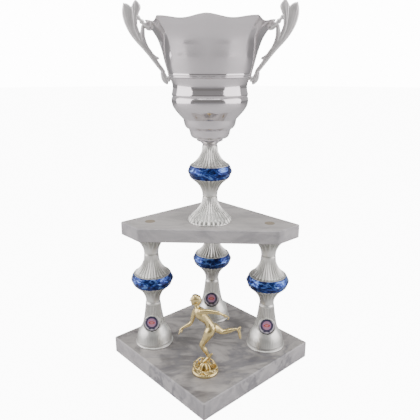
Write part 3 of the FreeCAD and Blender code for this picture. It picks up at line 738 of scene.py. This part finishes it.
# Rows of the outer wall, as (radius at a corner, height above the bowl's floor).
bowl_rows = profile(
    ([(ROD_HOLE, 0.0), (21.0, 0.0)], 5),
    ([(21.0, 0.0), (24.6, 0.7), (27.3, 2.3), (29.3, 5.6), (30.2, 9.0), (31.0, 12.0),
      (31.9, 14.2)], 22),
    ([(31.9, 14.2), (34.6, 15.6), (36.8, 18.0), (38.4, 22.0), (39.2, 25.6), (39.9, 29.0)],
     22),
    ([(39.9, 29.0), (43.4, 32.6), (47.3, 37.0), (52.0, 42.8), (55.2, 48.6), (56.6, 55.0),
      (56.4, 59.2), (55.9, 60.8)], 34),
    ([(55.9, 60.8), (55.2, 61.5), (55.6, 62.3)], 5),
    ([(55.6, 62.3), (56.2, 64.2), (55.5, 68.4), (54.6, 73.0), (54.9, 78.0), (56.3, 82.8),
      (58.2, 87.4)], 30),
    ([(58.2, 87.4), (59.6, 88.0), (60.5, 89.0), (60.6, 90.0), (60.1, 90.6)], 9),
    ([(60.1, 90.6), (60.8, 91.2), (61.2, 92.0), (61.0, 93.2)], 6),
    ([(61.0, 93.2), (62.2, 98.0), (64.2, 105.4), (66.5, ROUND_UP)], 14),
    ([(66.5, ROUND_UP), (69.2, 123.9), (72.1, 132.8), (75.8, 141.9), (81.6, 151.0), (87.8, 158.8),
      (92.1, RIM_UP - 1.4)], 44))
WALL = 1.0


def bowl_points():
    """Outer wall, rolled rim and inner wall as one closed profile, cornered above the bead.

    A panel's radius at an angle from its middle is m / cos(angle), a flat panel, times
    1 + k * (angle / half a panel) squared, with k set so that the corner comes out right.
    """
    share = np.linspace(-1.0, 1.0, 25)[:-1]
    away = np.sign(share) * (1.0 - (1.0 - np.abs(share)) ** 1.35) * PANEL / 2
    turn = (np.arange(CORNERS)[:, None] * PANEL + away[None, :] - np.pi / 2
            + PANEL / 2).reshape(1, -1)
    off = np.tile(away, CORNERS)[None, :]
    rim = np.array([(92.4, -0.4), (92.9, 0.0), (92.5, 0.35), (91.7, 0.2), (91.3, -0.8)])
    inner = bowl_rows[::-1][:-5] - [WALL, 0.0]
    inner[:, 1] = np.maximum(inner[:, 1], WALL)
    inner = inner[inner[:, 1] < RIM_UP - 2.0]
    loop = np.concatenate([bowl_rows, rim + [0.0, RIM_UP], inner, [(ROD_HOLE, WALL)]])
    corner, height = loop[:, :1], loop[:, 1:]
    middle = corner * np.interp(height, [ROUND_UP, 131.2, 149.2, RIM_UP],
                                [1.0, 0.9736, 0.9274, 0.886])
    k = corner * math.cos(PANEL / 2) / middle - 1.0
    radius = middle / np.cos(off) * (1.0 + k * (off / (PANEL / 2)) ** 2)
    radius = np.where(height > ROUND_UP, radius, corner)
    dip = RIM_DIP * ramp(height, 130.4, RIM_UP) * np.cos(off / (PANEL / 2) * np.pi / 2) ** 2
    x, y = STEM
    return np.stack([x + radius * np.cos(turn), y + radius * np.sin(turn),
                     BOWL_Z + height - dip + 0.0 * turn], axis=-1)


bowl = surface("bowl_shell", bowl_points() * MM, loop=True)
bowl.data.set_sharp_from_angle(angle=math.radians(40.0))
dress(bowl, silvered)
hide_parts("cup_bowl")
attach(bowl, "root")


# ---- handles ---------------------------------------------------------------
# Satin-plated castings, one the mirror of the other: two leaves on a curved stem, a
# knotted link screwed to the rim's corner, and a lug screwed below the bead.

cast = metal("cast_plate", linear(234, 232, 231), linear(178, 176, 175), 0.43, 0.12, 0.22, 90.0)
# Each ribbon's path, as (out from the cup's axis, up from its rim, half width), then its
# half thickness and how many ribs and knots its faces have.
RIBBONS = {
    "outer_leaf": ([(122.6, 23.2, 0.4), (119.2, 17.6, 4.8), (116.4, 10.4, 7.2), (114.4, 1.2, 7.4),
                    (111.2, -8.8, 6.7), (106.4, -19.0, 5.6), (100.6, -27.8, 4.6),
                    (94.2, -35.8, 3.9), (87.2, -44.5, 3.5), (79.8, -54.8, 3.0),
                    (74.0, -62.6, 2.7), (69.2, -68.8, 2.6), (66.0, -73.8, 2.4)], 2.7, 5, 0),
    "inner_leaf": ([(105.0, 27.0, 0.4), (104.6, 22.8, 4.2), (104.4, 17.6, 6.8), (105.2, 12.4, 5.8),
                    (106.6, 6.0, 4.6), (107.3, -1.0, 4.2), (106.8, -9.0, 3.7),
                    (103.8, -19.0, 3.1), (99.4, -27.4, 2.6), (96.0, -32.6, 1.8)], 2.9, 3, 26),
    "inner_stem": ([(95.2, -5.4, 1.9), (96.2, -13.4, 2.6), (96.6, -22.2, 3.1), (95.0, -29.9, 3.3),
                    (91.0, -37.9, 2.9), (85.2, -45.7, 2.5), (79.8, -49.9, 2.0),
                    (75.9, -51.6, 1.7), (73.2, -52.2, 1.5)], 2.4, 3, 0),
    "link": ([(84.6, -9.8, 3.2), (90.4, -7.0, 2.8), (95.4, -3.4, 3.0), (99.8, 1.0, 2.8),
              (104.6, 6.0, 2.6)], 2.7, 1, 7),
    "curl": ([(91.0, -9.4, 2.4), (87.2, -11.6, 2.2), (84.2, -11.8, 1.9), (82.6, -10.6, 1.4)],
             2.0, 1, 0),
    "lug": ([(69.4, -68.2, 2.2), (68.2, -74.2, 3.4), (66.2, -80.0, 4.0), (63.8, -85.2, 2.8),
             (62.2, -88.6, 0.7)], 2.7, 3, 0),
    "lug_boss": ([(66.5, -80.2, 3.2), (62.0, -80.6, 3.4), (58.0, -80.8, 3.2)], 2.8, 1, 0)}


def ribbon(path, thick, ribs, knots, side):
    """Points of a closed tube along a flat path, of lens-shaped section with ribs on its faces.

    Across the path it reaches the path's own half width, and its half thickness is thick
    times the sine round the section, scaled by a slow cosine across (ribs) and along (knots).
    """
    rows = through(path, 72)
    x, z, wide = rows.T
    away = np.stack([np.gradient(x), np.gradient(z)], axis=1)
    away /= np.linalg.norm(away, axis=1)[:, None]
    place = np.linspace(0.0, 1.0, len(rows))[:, None]
    turn = once_round(40)[None, :]
    end = np.clip(np.sqrt(np.minimum(place, 1.0 - place) / 0.03), 0.06, 1.0)
    knot = 1.0 + (0.22 * np.cos(2 * np.pi * knots * place / 2) if knots < 10 else 0.0)
    across = np.cos(turn) * wide[:, None] * end * knot
    relief = 1.0 + 0.07 * np.cos(np.pi * ribs * np.cos(turn))
    relief = relief + (0.06 * np.cos(2 * np.pi * knots * place) if knots > 9 else 0.0)
    deep = (thick * np.minimum(1.0, 0.45 + wide / 5.0)[:, None] * end * relief
            * np.sign(np.sin(turn)) * np.abs(np.sin(turn)) ** 0.8)
    return np.stack([side * (STEM[0] + x[:, None] + across * away[:, 1:]), STEM[1] + deep,
                     RIM_Z + z[:, None] - across * away[:, :1]], axis=-1)


def joined(name, pieces):
    """One mesh of several closed surfaces, given as (points, flipped)."""
    made = []
    for number, (points, flipped) in enumerate(pieces):
        part = surface(name + "_part_" + str(number), points * MM)
        if flipped:
            part.data.flip_normals()
        made.append(part)
    whole = made[0]
    with bpy.context.temp_override(active_object=whole, selected_editable_objects=made):
        bpy.ops.object.join()
    whole.name = name
    whole.data.name = name
    return whole


for label, side in (("left", -1), ("right", 1)):
    pieces = [(ribbon(path, thick, ribs, knots, side), side < 0)
              for path, thick, ribs, knots in RIBBONS.values()]
    handle = joined(label + "_handle_casting", pieces)
    dress(handle, cast)
    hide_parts(label + "_handle")
    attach(handle, "root")


# ---- figure ----------------------------------------------------------------
# A runner on a round plinth, one moulding in plated plastic with a gilt finish. The
# plinth has a plain rim, a pierced wavy crown and a mound that carries the front foot.

gilt = metal("gilt_plastic", linear(224, 203, 146), linear(132, 108, 52), 0.20, 0.12, 0.35, 120.0)
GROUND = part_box("runner_figure")[0].z / MM
PLINTH = (-2.5, -89.0)
# Each limb's path as (x, y, height above the base slab, radius), swelling with its muscles.
LIMBS = {
    "torso": [(-14.2, -89.5, 109.0, 3.4), (-12.4, -89.6, 104.4, 7.0), (-9.6, -89.5, 99.6, 8.3),
              (-5.4, -89.3, 93.6, 7.6), (-0.4, -89.1, 88.0, 6.1), (3.0, -89.0, 82.8, 5.9),
              (5.8, -89.0, 77.2, 7.2), (7.4, -89.0, 72.2, 6.6)],
    "shoulders": [(-8.2, -96.8, 105.8, 4.2), (-12.0, -89.6, 104.6, 5.0),
                  (-16.0, -82.4, 100.6, 4.2)],
    "neck": [(-13.6, -89.5, 106.4, 3.9), (-15.0, -89.3, 110.6, 3.1), (-16.6, -89.1, 115.0, 3.0)],
    "left_arm": [(-8.0, -97.5, 106.3, 4.4), (-2.6, -99.2, 107.6, 4.1), (4.0, -100.7, 108.6, 3.5),
                 (10.0, -101.4, 108.3, 2.7), (13.5, -101.5, 107.8, 2.6), (17.0, -101.4, 107.2, 2.9),
                 (21.0, -101.2, 105.4, 2.2), (24.2, -101.0, 103.6, 1.7)],
    "left_palm": [(23.6, -101.0, 103.9, 1.6), (26.4, -100.9, 102.6, 2.2),
                  (29.2, -100.7, 101.2, 1.9)],
    "left_thumb": [(26.0, -98.9, 102.4, 0.9), (27.6, -98.0, 99.8, 0.8), (27.4, -98.2, 97.4, 0.6)],
    "right_arm": [(-16.5, -82.0, 100.3, 4.4), (-19.0, -80.6, 94.0, 4.1), (-21.4, -79.5, 86.4, 3.4),
                  (-23.4, -79.0, 78.4, 2.7), (-26.0, -79.3, 75.0, 2.9), (-30.8, -80.2, 72.2, 2.5),
                  (-36.2, -81.0, 69.6, 1.7)],
    "right_palm": [(-35.6, -81.0, 70.0, 1.7), (-38.6, -81.4, 67.2, 2.1), (-40.6, -81.7, 65.0, 1.6)],
    "right_thumb": [(-37.0, -82.8, 68.0, 0.9), (-37.6, -83.8, 65.2, 0.8),
                    (-38.4, -84.0, 62.8, 0.6)],
    "left_leg": [(6.6, -92.2, 75.6, 6.9), (4.6, -92.9, 71.0, 7.7), (1.4, -92.8, 64.0, 6.9),
                 (-3.0, -92.4, 55.6, 5.0), (-6.8, -92.0, 47.4, 4.0), (-6.0, -91.8, 43.6, 3.7),
                 (-3.0, -91.2, 38.8, 3.8), (-0.4, -90.4, 33.6, 2.9), (1.6, -89.8, 28.6, 2.2)],
    "left_knee": [(-9.0, -92.0, 48.8, 1.9), (-9.4, -92.0, 46.2, 1.9)],
    "left_foot": [(7.4, -89.2, 30.2, 1.7), (4.4, -89.3, 27.0, 2.5), (1.6, -89.4, 23.2, 2.4),
                  (-1.4, -89.5, 19.4, 2.4), (-4.8, -89.5, 16.6, 1.7)],
    "right_leg": [(7.6, -85.6, 74.4, 7.2), (12.6, -84.2, 72.0, 6.8), (18.4, -83.0, 68.0, 5.0),
                  (23.4, -82.5, 65.0, 4.0), (28.0, -82.6, 65.6, 3.8), (34.2, -82.8, 67.8, 3.7),
                  (39.6, -83.0, 69.4, 2.5), (43.6, -83.0, 70.4, 2.0)],
    "right_foot": [(49.6, -83.0, 73.2, 1.6), (47.6, -83.1, 70.2, 2.6), (48.6, -83.5, 65.0, 2.2),
                   (49.4, -83.8, 60.4, 2.2), (50.2, -84.0, 56.0, 1.5)],
    "jaw": [(-17.4, -89.0, 119.4, 5.4), (-19.2, -89.0, 116.6, 4.0), (-20.6, -89.0, 114.8, 2.4)],
    "skull": [(-14.6, -89.0, 124.2, 4.8), (-17.2, -89.0, 122.6, 6.5), (-19.6, -89.0, 121.0, 4.6)],
    "brow": [(-22.3, -92.2, 122.2, 0.7), (-23.3, -89.0, 122.6, 0.9), (-22.3, -85.8, 122.2, 0.7)],
    "nose": [(-23.2, -89.0, 122.0, 0.6), (-24.2, -89.0, 119.8, 0.8), (-24.5, -89.0, 118.6, 1.0)],
    "lips": [(-22.4, -90.4, 116.4, 0.4), (-23.1, -89.0, 116.5, 0.8), (-22.4, -87.6, 116.4, 0.4)],
    "chin": [(-21.6, -89.0, 114.2, 1.5), (-21.2, -89.0, 113.6, 1.4)],
    "left_eye": [(-22.2, -91.7, 120.9, 0.8), (-22.6, -90.7, 120.9, 0.8)],
    "right_eye": [(-22.2, -86.3, 120.9, 0.8), (-22.6, -87.3, 120.9, 0.8)]}
LIMBS.update({"left_finger_" + str(i): [(28.4, -102.6 + 1.3 * i, 102.0 - 0.2 * i, 0.8),
                                        (31.6, -102.5 + 1.3 * i, 101.4 - 0.5 * i, 0.7),
                                        (32.8, -102.3 + 1.2 * i, 98.8 - 0.5 * i, 0.7),
                                        (31.2, -102.0 + 1.1 * i, 97.0 - 0.3 * i, 0.6)]
              for i in range(4)})
LIMBS.update({"right_finger_" + str(i): [(-39.8, -80.0 - 1.2 * i, 65.6 - 0.3 * i, 0.8),
                                         (-42.0, -80.2 - 1.2 * i, 62.6 - 0.5 * i, 0.7),
                                         (-42.8, -80.3 - 1.1 * i, 59.6 - 0.3 * i, 0.6)]
              for i in range(4)})


def limb(path, wide=1.0):
    """Points of a closed tube of round section along a path, its ends rounded.

    The section's own axes are the cross products of the path's direction with one fixed
    direction across it; wide stretches the section along the first of them.
    """
    rows = through(path, 14 * len(path))
    ahead = np.gradient(rows[:, :3], axis=0)
    ahead /= np.linalg.norm(ahead, axis=1)[:, None]
    fixed = np.eye(3)[np.argmin(np.abs(ahead).mean(axis=0))]
    first = fixed - ahead * (ahead @ fixed)[:, None]
    first /= np.linalg.norm(first, axis=1)[:, None]
    second = np.cross(ahead, first)
    start, stop = rows[0, 3], rows[-1, 3]
    over = np.sin(np.linspace(-np.pi / 2, 0.0, 7)[:-1])
    before = rows[0, :3] + start * over[:, None] * ahead[0]
    after = rows[-1, :3] - stop * over[::-1, None] * ahead[-1]
    middle = np.concatenate([before, rows[:, :3], after])
    first, second = (np.concatenate([np.repeat(axis[:1], 6, 0), axis, np.repeat(axis[-1:], 6, 0)])
                     for axis in (first, second))
    radius = np.concatenate([start * np.sqrt(1 - over ** 2) + 0.02, rows[:, 3],
                             stop * np.sqrt(1 - over[::-1] ** 2) + 0.02])
    turn = once_round(28)[None, :, None]
    points = (middle[:, None] + radius[:, None, None]
              * (wide * np.cos(turn) * first[:, None] + np.sin(turn) * second[:, None]))
    return points + [0.0, 0.0, GROUND]


def hair():
    """Short hair as a cap: a ball whose radius falls away over the face and is waved by locks."""
    up = np.linspace(-0.98 * np.pi / 2, 0.98 * np.pi / 2, 48)[:, None]
    turn = once_round(72)[None, :]
    facing = np.stack([np.cos(up) * np.cos(turn), np.cos(up) * np.sin(turn),
                       np.sin(up) + 0.0 * turn], axis=-1)
    face = ramp(-facing[..., 0] - 0.35 * facing[..., 2], 0.28, 0.62)
    locks = 0.09 * np.sin(11 * np.arctan2(facing[..., 1], facing[..., 2] + 0.3))
    radius = 7.0 + locks - 1.6 * face
    size = np.array([1.06, 1.0, 1.04])
    return np.array([-16.6, -89.0, 122.4 + GROUND]) + radius[..., None] * facing * size


def fused(piece, grain, smoothing):
    """Makes one skin of a piece's overlapping parts: remeshed on a fine grid, then smoothed."""
    skin = piece.modifiers.new("skin", "REMESH")
    skin.mode = "VOXEL"
    skin.voxel_size = grain * MM
    soft = piece.modifiers.new("soft", "SMOOTH")
    soft.factor = 0.5
    soft.iterations = smoothing
    seen = piece.evaluated_get(bpy.context.evaluated_depsgraph_get())
    made = bpy.data.meshes.new_from_object(seen)
    piece.modifiers.clear()
    piece.data = made
    made.name = piece.name
    made.polygons.foreach_set("use_smooth", np.ones(len(made.polygons), bool))
    made.update()


parts = [(limb(path, 1.22 if label == "torso" else 1.0), False) for label, path in LIMBS.items()]
nape = [(-12.6, -89.0, 123.4, 4.6), (-11.6, -89.0, 119.0, 4.4), (-12.4, -89.0, 115.2, 3.0)]
parts += [(hair(), False), (limb(nape, 1.3), False)]
runner = joined("runner_body", parts)
fused(runner, 0.42, 3)
dress(runner, gilt)
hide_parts("runner_figure")
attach(runner, "root")

plinth_rows = profile(
    ([(3.0, 0.4), (3.0, 9.0)], 2), ([(3.0, 9.0), (0.6, 9.0)], 2), ([(0.6, 9.0), (0.6, 16.2)], 2),
    ([(0.6, 16.2), (4.6, 15.6), (7.6, 13.4), (9.8, 9.6), (11.4, 6.4), (13.0, 5.0)], 24),
    ([(13.0, 5.0), (17.6, 5.0)], 4),
    ([(17.6, 5.0), (18.3, 5.2), (18.9, 4.9), (19.5, 4.2), (20.1, 3.4), (20.1, 1.2), (19.6, 0.3),
      (18.9, 0.0)], 20),
    ([(18.9, 0.0), (3.4, 0.0), (3.0, 0.4)], 6))[::-1]


def plinth_cut(turn, radius, height):
    """A ring of small beads round the shoulder, and shallow leaf ribs up the mound."""
    height = height - GROUND
    beads = 0.35 * ramp(radius, 17.0, 18.0) * ramp(height, 3.4, 4.4) * flutes(turn, 44, 0.7)
    leaves = 0.8 * ramp(radius, 3.0, 7.0) * (1 - ramp(radius, 11.0, 13.0)) * (height > 4.9)
    return beads + leaves * flutes(turn, 9, 1.4)


plinth = turned("runner_plinth", plinth_rows + [0.0, GROUND], 264, PLINTH, plinth_cut)
dress(plinth, gilt)
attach(plinth, "root")


def crown_height(turn):
    """Height of the crown's ring above the base slab: six low waves, higher to one side."""
    return 10.7 + 2.2 * np.cos(turn - math.radians(165.0)) + 0.7 * np.cos(6 * turn)


def crown_ring():
    """A flattened tube round a wavy circle at the crown's height."""
    turn = once_round(240)[:, None]
    round_it = once_round(20)[None, :]
    lift = GROUND + crown_height(turn)
    out = 16.9 + 0.5 * np.cos(6 * turn + 0.6) + 1.1 * np.cos(round_it)
    x, y = PLINTH
    return np.stack([x + out * np.cos(turn), y + out * np.sin(turn),
                     lift + 1.0 * np.sin(round_it) + 0.25 * np.cos(round_it)], axis=-1)


def crown_post(azimuth, lean):
    """Path of one leaf-shaped post from the plinth's shoulder up to the crown."""
    turns = np.radians(azimuth + np.array([0.0, 0.5, 1.0]) * lean)
    x, y = PLINTH
    out = np.array([17.4, 17.9, 17.0])
    heights = np.array([4.4, 7.0, crown_height(turns[2])])
    thick = np.array([1.6, 1.1, 1.1])
    return np.stack([x + out * np.cos(turns), y + out * np.sin(turns), heights, thick], axis=-1)


posts = [(limb(crown_post(azimuth, lean)), False)
         for azimuth in range(0, 360, 40) for lean in (-16.0, 16.0)]
ring = surface("crown_ring", crown_ring() * MM, loop=True)
crown = joined("runner_crown", posts)
with bpy.context.temp_override(active_object=crown, selected_editable_objects=[crown, ring]):
    bpy.ops.object.join()
fused(crown, 0.4, 2)
dress(crown, gilt)
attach(crown, "root")
